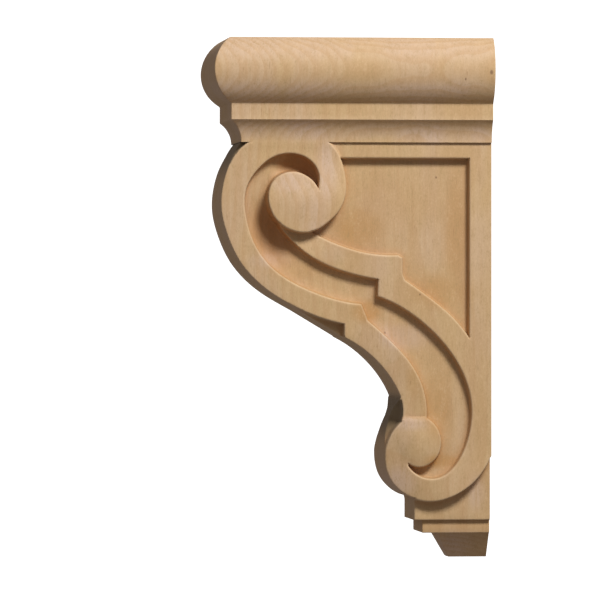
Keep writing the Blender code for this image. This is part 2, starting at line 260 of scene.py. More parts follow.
# %% Outline of the block
slope_fade = (front_line[:, 1] - LEDGE_FOOT).clip(0) / (CAP_FOOT - LEDGE_FOOT)
block_front = front_line + np.stack([LEDGE_WIDTH * slope_fade ** 2, 0 * slope_fade], 1)
block_front = block_front[block_front[:, 0] > SLOPE_HEAD]
block_front = block_front[block_front[:, 1] < CAP_FOOT - 0.5]
head_reach = BAND_FRONT[0][0] + LEDGE_WIDTH - 0.2
sawn_front = np.vstack([
    mark((head_reach, CAP_FOOT)), block_front,
    straight([block_front[-1], HOLLOW[0]])[1:-1], batten(HOLLOW)[:-1], batten(BLOCK_THROAT),
    straight([BLOCK_THROAT[-1], (BLOCK_REACH, BLOCK_FOOT)])[1:]])
print("sawn front:", len(sawn_front), "points")

# %% [markdown]
# ## How deep each cut goes
#
# The long shadows in the channel and under the eye say that the carver didn't work to flat
# levels. The volute climbs as it winds inwards, the eye is slightly domed, the inner band
# dips where it comes out from under the eye, and the outer band sinks before it meets the
# lower eye. So every level is a function of the place on the side, not one number. Each also
# takes the distance inside its cut, though only the channel and the throat make use of it.

# %% Levels
EYE_DOME = 1.0
LOWER_DOME = 1.5
SUNK_END = 2.8        # how far the outer band's lower end goes down
DIP = 2.2             # of the inner band, where it comes out from under the upper eye
ROLL = 0.0060         # bend of the lower scroll as it rolls away to the front
UPPER_HOOK, UPPER_HOOK_DEPTH = ((123.0, 249.5), 19.0, 1.4), 3.2
LOWER_HOOK, LOWER_HOOK_DEPTH = ((46.0, 58.0), 12.0, 1.3), 1.8
UNDER_EYE, UNDER_EYE_DEPTH = ((140.0, 205.0), 32.0, 1.3), 3.4
THROAT_FOOT, THROAT_HEAD = 70.0, 94.5
SCOOP_SLOPE = 1.9     # how steeply the throat's ledge is scooped away
RUN_OUT = 5.6         # how far it comes up again at the throat's head


def ease(share):
    """Runs from 0 to 1 with level ends: 3x^2 - 2x^3, held at 0 and 1 outside."""
    share = np.clip(share, 0.0, 1.0)
    return share * share * (3 - 2 * share)


def from_eye(spot, centre):
    """Distance of each spot from a centre."""
    return np.hypot(spot[:, 0] - centre[0], spot[:, 1] - centre[1])


def hand(spot, size, phase=0.0):
    """Slow unevenness between -1 and 1: three crossing sine waves of about one size."""
    r, z = spot.T * (2 * math.pi / size)
    return (np.sin(r + 0.7 * z + phase) + np.sin(0.8 * z - 0.5 * r + 2.1 * phase)
            + np.sin(1.7 * r + 1.1 + phase)) / 3


def bowl(spot, centre, size, level_share=1.0):
    """A round hollow: the ease of s*(1 - d/size), so s above 1 makes its middle level."""
    return ease(level_share * (1 - from_eye(spot, centre) / size))


def face_level(spot, inside=0.0):
    """Outer band at one level; the volute eases up to the eye, which is a low dome."""
    r, z = spot.T
    in_volute = (from_eye(spot, VOLUTE_CENTRE) < VOLUTE_RADIUS) | ((r < 112.0) & (z > 200.0))
    climb = EYE_RISE * ease((257.0 - z) / 34.0)
    dome = EYE_DOME * bowl(spot, UPPER_CENTRE, 30.0)
    uneven = 0.07 * hand(spot, 31.0) * ease((CAP_FOOT - z) / 5.0)
    flush = (CAP_LIP - 0.02) * ease((z - CAP_FOOT + 6.0) / 6.0)
    return FACE_HALF + np.where(in_volute, climb + dome, 0.0) + uneven + flush


def sunk_end_level(spot, inside=0.0):
    """The outer band's lower end eases down, to run under the lower eye."""
    return FACE_HALF - SUNK_END * ease((150.0 - spot[:, 1]) / 61.0) + 0.07 * hand(spot, 31.0)


def field_level(spot, inside=0.0):
    """Field level, with a dip beside the upper eye and a domed lower eye.

    The lower scroll rolls away from the eye down and to the front, by the square of the
    distance that way.
    """
    r, z = spot.T
    dip = DIP * ease(1 - (from_eye(spot, UPPER_CENTRE) - UPPER_RADIUS) / 18.0)
    rise = 1.2 * ease((72.0 - z) / 34.0)
    dome = LOWER_DOME * (1 - (from_eye(spot, LOWER_CENTRE) / LOWER_RADIUS) ** 2).clip(0)
    low = z < LOW_EYE_HEAD
    away = (0.8 * (r - LOWER_CENTRE[0]) + 0.6 * (LOWER_CENTRE[1] - z)).clip(0) * low
    return FIELD_HALF - dip + rise + dome - ROLL * away ** 2 + 0.06 * hand(spot, 43.0, 1.0)


def panel_level(spot, inside=0.0):
    """The sunk ground of the panel, nearly flat."""
    return GROUND_HALF + 0.08 * hand(spot, 37.0, 2.0)


def dug_deeper(spot):
    """How much deeper than the ground the channel goes round the eye and into its two hooks."""
    round_eye = 1.2 * ease(1 - (from_eye(spot, UPPER_CENTRE) - UPPER_RADIUS) / 14.0)
    hooks = UPPER_HOOK_DEPTH * bowl(spot, *UPPER_HOOK) + LOWER_HOOK_DEPTH * bowl(spot, *LOWER_HOOK)
    return round_eye + hooks + UNDER_EYE_DEPTH * bowl(spot, *UNDER_EYE)


def channel_level(spot, inside=0.0):
    """The ground of the channel: deep below the eyes, and hollow from wall to wall."""
    hollow = 1.5 * np.exp(-np.maximum(inside, 0.0) / 1.8)
    return GROUND_HALF - 0.3 - dug_deeper(spot) + hollow + 0.12 * hand(spot, 21.0, 3.0)


def ledge_level(spot, inside=0.0):
    """The small ledges at the cap and in the notch."""
    return np.full(len(spot), GROUND_HALF)


def block_level(spot, inside=0.0):
    """The face of the block, and the throat, scooped away to the front and run out at its head."""
    height = spot[:, 1]
    scoop = ease((height - THROAT_FOOT) / 10.0) * (1.3 + np.clip(inside, 0.0, 6.0))
    run_out = ease((height - THROAT_HEAD) / 9.0)
    scooped = BLOCK_HALF - SCOOP_SLOPE * scoop * (1 - run_out) + RUN_OUT * run_out
    return scooped + 0.05 * hand(spot, 40.0, 4.0)


sunk_end_cut = mark((36.0, LOW_EYE_HEAD - 1.0), (112.0, LOW_EYE_HEAD - 1.0), (112.0, 160.0),
                    (36.0, 160.0))
CUTS = (
    ("sunk end", sunk_end_cut, sunk_end_level), ("field", field_cut, field_level),
    ("panel", panel_cut, panel_level), ("channel", groove_cut, channel_level),
    ("head ledge", ledge_cut, ledge_level), ("notch", notch_cut, ledge_level),
    ("block", foot_cut, block_level))
print("levels set for", ", ".join(name for name, _, _ in CUTS))

# %% [markdown]
# A chisel doesn't leave a square edge. The arris at the top of each wall is eased by
# sandpaper, the wall leans out a little, and its foot has a small hollow. That section is one
# curve of height against distance from the drawn line, and it is applied wherever a cut has
# some depth. Blender's Bevel modifier could round the edges too, but it gives up where lines
# cross or run out to nothing, as they do at both ends of the channel.

# %% The section of a carved wall
ARRIS_AT = np.array([-1.00, -0.62, -0.32, -0.10, 0.02])
ARRIS_DROP = np.array([0.0, 0.08, 0.26, 0.50, 0.72])
FOOT_AT = np.array([0.67, 0.86, 1.18, 1.70])
FOOT_LEFT = np.array([0.75, 0.38, 0.12, 0.0])
WALL_ROWS = (-1.7, *ARRIS_AT, 0.34, *FOOT_AT)
FULL_SECTION = 1.9    # a wall lower than this has its roundings scaled down
EDGE_AT = np.array([0.0, 0.08, 0.24, 0.48, 0.80])
EDGE_DROP = np.array([0.62, 0.42, 0.22, 0.07, 0.0])


def wall_drop(distance, depth):
    """How far the surface has dropped, at a distance inside a cut of a given depth.

    Up to the drawn line it follows the eased arris, then a straight leaning wall, then the
    small hollow at the foot, and past that it is the whole depth.
    """
    scale = np.clip(depth / FULL_SECTION, 0.0, 1.0)
    arris = np.interp(distance, ARRIS_AT, ARRIS_DROP) * scale
    foot = depth - np.interp(distance, FOOT_AT, FOOT_LEFT) * scale
    share = (distance - ARRIS_AT[-1]) / (FOOT_AT[0] - ARRIS_AT[-1])
    wall = ARRIS_DROP[-1] * scale + share * (depth - (ARRIS_DROP[-1] + FOOT_LEFT[0]) * scale)
    drop = np.where(distance <= ARRIS_AT[-1], arris, np.where(distance < FOOT_AT[0], wall, foot))
    return np.where(depth > 0, drop, 0.0)


print("a wall of 5 mm, each half millimetre:", wall_drop(np.arange(-1, 2.1, 0.5), 5.0).round(2))

# %% [markdown]
# A carver works down from the face, one cut after another, and each cut is sunk from what the
# last ones left. Here the cuts follow in the same order, and a spot drops by the wall's curve
# at its distance inside the cut's line. A Boolean modifier would cut square walls, with no
# say over their section.

# %% Distances and the carving itself


def gap(spot, line, loop=True):
    """Distance from each spot to the nearest place on a line of many short straight steps."""
    start = line if loop else line[:-1]
    end = np.roll(line, -1, 0) if loop else line[1:]
    step = end - start
    length = (step ** 2).sum(1) + 1e-12
    best = np.empty(len(spot))
    for first in range(0, len(spot), 4000):
        part = spot[first:first + 4000, None, :] - start
        along = ((part * step).sum(2) / length).clip(0, 1)
        off = part - along[..., None] * step
        best[first:first + 4000] = np.sqrt((off ** 2).sum(2).min(1))
    return best


def within(spot, outline):
    """Whether each spot lies inside: a ray to one side crosses the outline an odd number of times."""
    (x1, y1), (x2, y2) = outline.T, np.roll(outline, -1, 0).T
    odd = np.zeros(len(spot), bool)
    for first in range(0, len(spot), 4000):
        x, y = spot[first:first + 4000, :1], spot[first:first + 4000, 1:]
        spans = (y1 > y) != (y2 > y)
        with np.errstate(divide="ignore", invalid="ignore"):
            crosses = x < (x2 - x1) * (y - y1) / (y2 - y1) + x1
        odd[first:first + 4000] = (spans & crosses).sum(1) % 2 == 1
    return odd


def depth_inside(spot, outline):
    """Distance to the outline, positive inside it."""
    return np.where(within(spot, outline), 1.0, -1.0) * gap(spot, outline)


def carve(spot, count=len(CUTS)):
    """The half width of the side after the first few cuts, each sunk from what is there."""
    height = face_level(spot)
    for _, outline, level in CUTS[:count]:
        inside = depth_inside(spot, outline)
        height = height - wall_drop(inside, height - level(spot, inside))
    return height


# %% [markdown]
# ## Where the mesh needs points
#
# A plain grid fine enough for the arrises would take millions of faces. Instead, rows of
# points run beside every carved line at the distances where its section turns, and a loose
# grid fills the flats between. Blender's Delaunay routine joins them all into triangles.

# %% Points beside the carved lines


def rows_beside(outline, offsets):
    """Points at set distances inside a closed outline; a point too near another stretch is left out.

    Each is tried twice, square to the line and out along the corner's bisector, because one
    of the two is at the right distance on either side of a corner.
    """
    ahead = np.roll(outline, -1, 0) - outline
    ahead /= np.hypot(*ahead.T)[:, None] + 1e-9
    behind = np.roll(ahead, 1, 0)
    mean = ahead + behind
    mean /= np.hypot(*mean.T)[:, None] + 1e-9
    area = (outline[:, 0] * np.roll(outline[:, 1], -1)
            - np.roll(outline[:, 0], -1) * outline[:, 1]).sum()
    normal = np.stack([-mean[:, 1], mean[:, 0]], 1) * np.sign(area)
    stretch = 1 / (ahead * mean).sum(1).clip(0.3, 1)
    made = []
    for offset in offsets:
        for reach in (1.0, stretch):
            spot = outline + normal * (offset * reach * np.ones(len(outline)))[:, None]
            made.append(spot[abs(depth_inside(spot, outline) - offset) < 0.03 + 0.02 * abs(offset)])
    return np.vstack(made)


def thin_out(spot, cell):
    """Keep one point in each small square cell."""
    _, first = np.unique(np.round(spot / cell).astype(int), axis=0, return_index=True)
    return spot[np.sort(first)]


def nearest(spot, others):
    """Distance from each spot to the nearest of the other points."""
    best = np.empty(len(spot))
    for first in range(0, len(spot), 1000):
        part = spot[first:first + 1000, None, :] - others
        best[first:first + 1000] = np.sqrt((part ** 2).sum(2).min(1))
    return best


def side_edge(start, end, step, dense):
    """Places along a straight edge, with close ones where a carved line meets it."""
    places = np.linspace(start, end, max(2, round(abs(end - start) / step)) + 1)
    low, high, fine = dense
    places = places[(places < low) | (places > high)]
    return np.sort(np.concatenate([places, np.arange(low, high + fine / 2, fine)]))


top_reach = side_edge(0.0, head_reach, 2.6, (100.5, 105.5, 0.5))
back_height = side_edge(BLOCK_FOOT, CAP_FOOT, 2.6, (61.5, 68.0, 0.5))
foot_reach = np.linspace(0.0, BLOCK_REACH, 21)
top_edge = np.stack([top_reach, 0 * top_reach + CAP_FOOT], 1)
foot_edge = np.stack([foot_reach, 0 * foot_reach + BLOCK_FOOT], 1)
back_edge = np.stack([0 * back_height, back_height], 1)
rim = np.vstack([top_edge[:-1], sawn_front[:-1], foot_edge[:0:-1], back_edge[:-1]])
print("rim:", len(rim), "points")

points = []
for index, (name, outline, level) in enumerate(CUTS):
    drop = carve(outline, index) - level(outline)
    later = [CUTS[k] for k in range(index + 1, len(CUTS))]
    buried = np.zeros(len(outline), bool)
    for _, other, other_level in later:
        buried |= (depth_inside(outline, other) > 2.4) & (other_level(outline) < level(outline))
    wanted = outline[(drop > 0.12) & ~buried]
    spots = rows_beside(outline, WALL_ROWS)
    spots = spots[nearest(spots, wanted) < 2.6]
    points.append(spots)
    print(name, "wall:", len(spots), "points")
open_rim = np.vstack([sawn_front, foot_edge[::-1]])
edge_rows = rows_beside(rim, EDGE_AT[1:])
points.append(edge_rows[gap(edge_rows, open_rim, loop=False) < 0.9])
# The last cuts come first, because the first point in each cell is the one that stays.
rows = thin_out(np.vstack(points[::-1]), 0.13)
rows = rows[depth_inside(rows, rim) > 0.06]
print("rows:", len(rows), "points")

# %% [markdown]
# The flats need few points. A staggered grid keeps its triangles close to equal-sided, and
# each grid point that comes too near a row is dropped, so that no slivers form.

# %% The side as triangles
GRID = 2.3


def triangulate(outline, inner=()):
    """Triangles inside a closed outline, between its points and the inner ones."""
    spots = np.vstack([outline, *inner])
    edges = [(k, (k + 1) % len(outline)) for k in range(len(outline))]
    made = delaunay_2d_cdt([Vector(s) for s in spots], edges, [], 0, 1e-6, True)
    flat = np.array([tuple(v) for v in made[0]])
    source = np.array([origin[0] if origin else -1 for origin in made[3]])
    flat[source >= 0] = spots[source[source >= 0]]
    triangles = np.array([tuple(f) for f in made[2]], int)
    return flat, triangles[within(flat[triangles].mean(1), outline)]


across, up = np.meshgrid(np.arange(0, REACH, GRID), np.arange(BLOCK_FOOT, CAP_FOOT, GRID * 0.87))
across = across + GRID / 2 * (np.arange(len(up)) % 2)[:, None]
grid = np.stack([across.ravel(), up.ravel()], 1)
grid = grid[depth_inside(grid, rim) > 1.0]
grid = grid[nearest(grid, np.vstack([rows, rim])) > GRID * 0.62]
side_spots, side_faces = triangulate(rim, [rows, grid])
print("side:", len(side_spots), "points,", len(side_faces), "triangles")


def edge_drop(spot):
    """The eased arris along the sawn front and the foot."""
    return np.interp(gap(spot, open_rim, loop=False), EDGE_AT, EDGE_DROP)


side_half = carve(side_spots) - edge_drop(side_spots)

# %% [markdown]
# Some masks are worked out beside the shape, because the wood needs them later. Hands and
# sandpaper lighten the arrises. A warm dark brown at the feet of the walls and in the dug hooks
# is painted shade with some dust, and a darker brown on the sawn front under the cap and in
# the throat is painted shade. Rosy and amber tints are soft spots at named places. Most are
# the wood's own stains, but the rosy bands on the bead are a painted sheen on its top and a
# painted lighter shade below, the rosy spots along the cove and on the tail tint the shade
# there, and the strong amber spot in the notch is painted shade.

# %% Masks for worn arrises, painted shade, painted sheen and stains
# The rosy spots at heights 269 and 271 run along the cove and the one at height 8 covers the tail:
# painted shade colour.
ROSY_SPOTS = ((127, 238, 15, 9, 1.0), (104.5, 246, 8, 24, 0.9), (54, 141, 20, 9, 1.0),
              (51, 86, 13, 5, 0.8), (140, 189, 16, 5, 0.6), (57, 50, 11, 11, 0.8),
              (115, 211, 10, 5, 0.6), (9, 43, 6, 14, 0.7), (28, 269, 40, 7, 0.9),
              (112, 271, 60, 7, 0.8), (20, 8, 16, 10, 0.8), (122, 226, 20, 18, 0.55))
# The amber spot at reach 80, height 157 is painted shade in the notch.
AMBER_SPOTS = ((86, 210, 20, 16, 0.7), (22, 206, 8, 46, 0.6), (33, 169, 22, 12, 0.7),
               (34.7, 98, 10, 24, 0.9), (80, 157, 11, 8, 1.0), (122, 184, 22, 8, 0.5),
               (49, 115, 6, 15, 0.5), (32, 62, 12, 5, 0.9), (70, 225, 40, 25, 0.25))


def soft_spots(spot, marks):
    """Soft spots of tint as exp(-1.4 u^4), u the distance in each spot's own width and height.

    The fourth power keeps a spot even over its middle and lets it end within its width.
    """
    stain = np.zeros(len(spot))
    for reach, height, wide, tall, strength in marks:
        far = ((spot[:, 0] - reach) / wide) ** 2 + ((spot[:, 1] - height) / tall) ** 2
        stain = np.maximum(stain, strength * np.exp(-1.4 * far ** 2))
    return stain


# Painted shade: the sawn front is painted darker where the cap and the throat shelter it.
UNDER_CAP = (35.0, 155.5, 236.0, 23.0)        # half width, reach, height and fade
IN_THROAT = (32.8, 50.0, THROAT_FOOT, 18.0)


def sheltered(place, half, reach, height, fade):
    """Within a half width and beyond a reach, eased in over the fade from a height upwards."""
    fits = (abs(place[:, 0]) < half) & (place[:, 1] > reach)
    return fits * ease((place[:, 2] - height) / fade)


def painted_shade_mask(place):
    """Painted shade on the sheltered front, which ends at the cap's foot and at the throat's head."""
    height = place[:, 2]
    return np.maximum(sheltered(place, *UNDER_CAP) * (height < CAP_FOOT + 0.1),
                      sheltered(place, *IN_THROAT) * ease((107.0 - height) / 7.0))


def wear_masks(spot):
    """Two masks, exp(-(d/w)^2) of the distance to each line: wear at its top, painted shade and dust
    at its foot.
    """
    worn, deep = np.zeros(len(spot)), np.zeros(len(spot))
    height = face_level(spot)
    for name, outline, level in CUTS:
        inside = depth_inside(spot, outline)
        depth = (height - level(spot, inside)).clip(0)
        cut = inside > 0.5
        worn[cut & (depth > 0.3)] = 0
        deep[cut & (depth > 0.3)] = 0
        worn = np.maximum(worn, np.exp(-((inside + 0.25) / 0.55) ** 2) * (depth / 2.0).clip(0, 1))
        # The foot of each wall gets painted warm shade, with some dust.
        foot = 0.5 * np.exp(-((inside - 0.9).clip(0) / 2.4) ** 2) * (inside > 0.3)
        deep = np.maximum(deep, foot * (depth / 4.0).clip(0, 1))
        # In the channel the dug hooks and the hollow by the eye get painted shade too.
        if name == "channel":
            deep = np.maximum(deep, (inside > 0) * ease(dug_deeper(spot) / 5.0))
        height = height - wall_drop(inside, depth)
    rim_gap = gap(spot, open_rim, loop=False)
    return np.maximum(worn, np.exp(-(rim_gap / 0.6) ** 2)), deep


side_worn, side_shade_and_dust = wear_masks(side_spots)
print(f"share of the side's points: worn {side_worn.mean():.2f}, deep {side_shade_and_dust.mean():.2f}")

# %% [markdown]
# ## From patches to one closed mesh
#
# Each face of the bracket is a patch with its own points: two carved sides, the sawn front,
# the cap, the foot and the back. Where two patches meet they use the very same numbers, so a
# weld by rounded position joins them. The check at the end counts how often each edge is
# used: in a closed mesh it is once in each direction.

# %% Patches
patches = []


def add_patch(name, spots, faces, worn=None, deep=None):
    """Keep a patch: points in (half width, reach, height), and faces as rows of numbers."""
    blank = np.zeros(len(spots))
    patches.append((name, np.asarray(spots, float), faces,
                    blank if worn is None else worn, blank if deep is None else deep))


def sheet(grid_spots):
    """Quads between the neighbours of a grid of points, with their numbers."""
    tall, wide = grid_spots.shape[:2]
    number = np.arange(tall * wide).reshape(tall, wide)
    quads = np.stack([number[:-1, :-1], number[:-1, 1:], number[1:, 1:], number[1:, :-1]], -1)
    return grid_spots.reshape(-1, 3), quads.reshape(-1, 4)


right = np.column_stack([side_half, side_spots])
left = right * (-1, 1, 1)
add_patch("right side", right, side_faces[:, ::-1], side_worn, side_shade_and_dust)
add_patch("left side", left, side_faces, side_worn, side_shade_and_dust)

# %% [markdown]
# ## The sawn front
#
# The front was sawn straight through the block, so each row across it is a straight line from
# one side to the other. The ends of the rows are the very points of the two sides, and close
# to them a row has one more point, because the side's masks fade out there.

# %% The sawn front
FRONT_SHARES = np.linspace(1, -1, 21)


def side_points(spots):
    """The side's own points at the given places on its rim."""
    found = [int(np.argmin(((side_spots - s) ** 2).sum(1))) for s in spots]
    return right[found]


edge_points = side_points(sawn_front)
half = edge_points[:, 0]
middle = (half[:, None] - 0.9) * FRONT_SHARES
columns = np.column_stack([half, middle, -half])
front_grid = np.stack([columns, np.repeat(edge_points[:, 1:2], columns.shape[1], 1),
                       np.repeat(edge_points[:, 2:3], columns.shape[1], 1)], -1)
add_patch("front", *sheet(front_grid))
print("front:", front_grid.shape[0], "rows of", front_grid.shape[1])

# %% [markdown]
# The cap's moulding is drawn once, as a list of steps outwards at rising heights, and carried
# along the right side, the front and the left side with mitred corners. A real cap is worked
# in the solid with a moulding plane, which gives the same mitres.

# %% Mouldings carried round three sides
CORNER = 0.7          # radius of the eased upright corners


def carried(rows, side_shares, front_shares, corner=CORNER):
    """Carry rows of (half width, reach, height) round three sides.

    Each corner is a quarter circle from (h - c(1 - cos t), r - c(1 - sin t)).
    """
    turn = np.radians(np.linspace(0, 90, 6))
    made = []
    for wide, out, high in rows:
        quarter = np.stack([wide - corner * (1 - np.cos(turn)),
                            out - corner * (1 - np.sin(turn))], 1)
        side = np.stack([np.full(len(side_shares), wide), side_shares * (out - corner)], 1)
        front = np.stack([front_shares * (wide - corner), np.full(len(front_shares), out)], 1)
        plan = np.vstack([side[:-1], quarter, front[1:-1], quarter[::-1] * (-1, 1),
                          side[-2::-1] * (-1, 1)])
        made.append(np.column_stack([plan, np.full(len(plan), high)]))
    return np.array(made)


def ring(name, outer, inner, down):
    """Fill the flat U between two loops of points at the same height."""
    loop = np.vstack([outer, inner[::-1]])
    flat, faces = triangulate(loop[:, :2])
    spots = np.column_stack([flat, np.full(len(flat), outer[0, 2])])
    add_patch(name, spots, faces if down else faces[:, ::-1])


def arc(start, end, radius, steps):
    """Steps along an arc about 0, 0: the radius times (cos t, sin t), between two angles."""
    turn = np.radians(np.linspace(start, end, steps + 1))
    return radius * np.stack([np.cos(turn), np.sin(turn)], 1)


cove_turn = math.degrees(math.asin((FILLET_FOOT - CAP_FOOT) / COVE_RADIUS))
cove = (COVE_RADIUS, CAP_FOOT) + arc(180.0, 180.0 - cove_turn, COVE_RADIUS, 20)
low = -math.degrees(math.acos((FILLET_PROUD - BEAD_PROUD + BEAD_RADIUS) / BEAD_RADIUS))
high = math.degrees(math.asin((HEIGHT - 0.35 - BEAD_CENTRE) / BEAD_RADIUS))
bead = (BEAD_PROUD - BEAD_RADIUS, BEAD_CENTRE) + arc(low, high, BEAD_RADIUS, 56)
fillet = (FILLET_PROUD, FILLET_FOOT) + np.array([
    (-0.12, -0.02), (0.02, 0.12), (0.0, 0.5), (0.0, 3.5), (0.0, 7.0), (0.0, 9.8), (0.05, 10.3)])
top_turn = bead[-1] + np.array([(-0.35, 0.22), (-0.85, 0.35), (-2.2, 0.35)])
profile = np.vstack([cove[:-1], fillet, bead[1:], top_turn])
cap_rows = np.column_stack([FACE_HALF + CAP_LIP + profile[:, 0],
                            REACH - BEAD_PROUD + profile[:, 0], profile[:, 1]])
cap = carried(cap_rows, np.linspace(0, 1, 61), np.linspace(1, -1, 25))
cap_worn = np.zeros(cap.shape[:2])
cap_worn[len(cove) - 1:len(cove) + 2] = 0.5
cap_worn[-4:-1] = 0.4
spots, quads = sheet(cap)
add_patch("cap", spots, quads[:, ::-1], cap_worn.ravel())
body_head = side_points(top_edge)
head_loop = np.vstack([body_head[:-1], front_grid[0], (body_head * (-1, 1, 1))[-2::-1]])
ring("cap foot", cap[0], head_loop, down=True)
print("cap:", cap.shape[0], "rows of", cap.shape[1])

# %% [markdown]
# ## The foot
#
# Below the block come a thin step and a tail that tapers on three sides to a flat tip, like a
# pyramid upside down with the wall cutting through it. Both are carried round three sides as
# the cap is. A cube with its lower face scaled down would give the tail, but not its eased
# arrises.

# %% The step and the tail
STEP_ROWS = [(STEP_HALF, STEP_REACH, BLOCK_FOOT)] + [
    (STEP_HALF - back, STEP_REACH - back, STEP_FOOT + above)
    for back, above in ((0, 6.5), (0, 3.5), (0, 0.6), (0.12, 0.25), (0.5, 0), (1.2, 0))]
TAIL_ROWS = [
    (TAIL_HALF_TOP + 0.1, TAIL_REACH_TOP + 0.3, STEP_FOOT),
    (TAIL_HALF_TOP, TAIL_REACH_TOP, STEP_FOOT - 0.1), (17.9, 30.2, 11.0), (13.4, 27.7, 6.0),
    (TAIL_HALF_FOOT + 0.7, TAIL_REACH_FOOT + 0.4, 0.8),
    (TAIL_HALF_FOOT + 0.1, TAIL_REACH_FOOT, 0.25),
    (TAIL_HALF_FOOT - 0.5, TAIL_REACH_FOOT - 0.5, 0.0),
    (TAIL_HALF_FOOT - 1.5, TAIL_REACH_FOOT - 1.5, 0.0)]
foot = carried(STEP_ROWS + TAIL_ROWS, np.linspace(0, 1, 21), np.linspace(1, -1, 21), 0.5)
foot_worn = np.zeros(foot.shape[:2])
foot_worn[3:6] = 0.5
foot_worn[-4:-1] = 0.4
# Painted shade on the step just under the block and on the tail, with some dust.
foot_shade_and_dust = np.zeros(foot.shape[:2])
foot_shade_and_dust[:4] = 0.3
foot_shade_and_dust[7:] = 0.15
add_patch("foot", *sheet(foot), foot_worn.ravel(), foot_shade_and_dust.ravel())
body_foot = side_points(foot_edge)
foot_loop = np.vstack([body_foot[:-1], front_grid[-1], (body_foot * (-1, 1, 1))[-2::-1]])
ring("block underside", foot_loop, foot[0], down=True)
print("foot:", foot.shape[0], "rows of", foot.shape[1])

# %% [markdown]
# ## The flat faces
#
# The top, the end of the tail and the back are plain sawn faces. Each is filled with triangles
# between the points of its own rim, so that it meets its neighbours at every point.

# %% The flat top, the end of the tail and the back
for name, loop, down in (("top", cap[-1], False), ("tail end", foot[-1], True)):
    flat, faces = triangulate(loop[:, :2])
    spots = np.column_stack([flat, np.full(len(flat), loop[0, 2])])
    add_patch(name, spots, faces if down else faces[:, ::-1])

body_back = side_points(back_edge)
back_right = np.vstack([foot[::-1, 0], body_back, cap[:, 0]])
back_loop = np.vstack([back_right, back_right[::-1] * (-1, 1, 1)])
flat, faces = triangulate(back_loop[:, [0, 2]])
add_patch("back", np.column_stack([flat[:, 0], 0 * flat[:, 0], flat[:, 1]]), faces[:, ::-1])
for name, spots, faces, _, _ in patches:
    print(name, len(spots), "points", len(faces), "faces")

# %% [markdown]
# ## The weld
#
# Merge by Distance could join the patches too, but it might swallow the closest rows beside
# the carved lines. Here points are joined only where they agree to a ten-thousandth of a
# millimetre, and a quad that loses a corner is kept as a triangle.

# %% Weld
every = np.vstack([p[1] for p in patches])
shift = np.cumsum([0] + [len(p[1]) for p in patches])
_, keep, number = np.unique(np.round(every, 4) + 0.0, axis=0, return_index=True, return_inverse=True)
number = number.ravel()
faces = []
for (_, _, patch_faces, _, _), first in zip(patches, shift):
    for face in number[np.asarray(patch_faces) + first]:
        ordered = list(dict.fromkeys(face.tolist()))
        if len(ordered) > 2:
            faces.append(ordered)
worn_mask, shade_and_dust_mask = np.zeros(len(keep)), np.zeros(len(keep))
np.maximum.at(worn_mask, number, np.concatenate([p[3] for p in patches]))
np.maximum.at(shade_and_dust_mask, number, np.concatenate([p[4] for p in patches]))
used = {}
for face in faces:
    for a, b in zip(face, face[1:] + face[:1]):
        used[a, b] = used.get((a, b), 0) + 1
loose = [edge for edge, times in used.items() if times != 1 or (edge[1], edge[0]) not in used]
print("faces:", len(faces), " edges that don't pair up:", len(loose))
for a, b in loose[:6]:
    print("   open at", every[keep[a]].round(2), every[keep[b]].round(2))

# %% [markdown]
# ## The mesh
#
# The welded numbers become one mesh in metres, in the shared frame: X across, the wall at
# Y = 0 and Z up from the middle of the height.

# %% The bracket's mesh
drawn = every[keep]
drawn_side, drawn_height = drawn[:, 1:], drawn[:, 2]
placed = np.column_stack([drawn[:, 0], -drawn[:, 1], drawn_height - HEIGHT / 2]) * MM
mesh = bpy.data.meshes.new("corbel_wood")
mesh.from_pydata(placed.tolist(), [], faces)
# A painted sheen on the bead's top and a painted lighter shade on its underside, laid on as rosy
# tint.
bead_top_painted_sheen = 0.45 * ease((drawn_height - 312.0) / 10.0)
bead_foot_painted_shade = 0.6 * np.exp(-((drawn_height - 297.0) / 5.0) ** 2)
masks = {
    "worn": worn_mask, "deep": shade_and_dust_mask, "painted_shade": painted_shade_mask(drawn),
    "rosy": np.maximum(soft_spots(drawn_side, ROSY_SPOTS), np.maximum(bead_top_painted_sheen, bead_foot_painted_shade)),
    "amber": soft_spots(drawn_side, AMBER_SPOTS) * (drawn_height < CAP_FOOT)}
for name, values in masks.items():
    mesh.attributes.new(name, "FLOAT", "POINT").data.foreach_set("value", values)
mesh.shade_smooth()
mesh.set_sharp_from_angle(angle=math.radians(32))
corbel = bpy.data.objects.new("corbel_wood", mesh)
bpy.context.scene.collection.objects.link(corbel)
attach(corbel, "root")
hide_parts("corbel")
print("mesh:", len(mesh.vertices), "points,", sum(len(f) - 2 for f in faces), "triangles")

# %% [markdown]
# ## The wood
#
# Wood isn't painted on: the grain runs through the block, so it is written as a function of
# place in 3-D. Growth rings are distances from the tree's axis, which stands upright outside
# the block, and fibres and pores are noise that is drawn out along the grain. A flat texture
# would smear over the bead and the walls of the channel; this one shows end grain on the top.

# %% Helpers for node trees


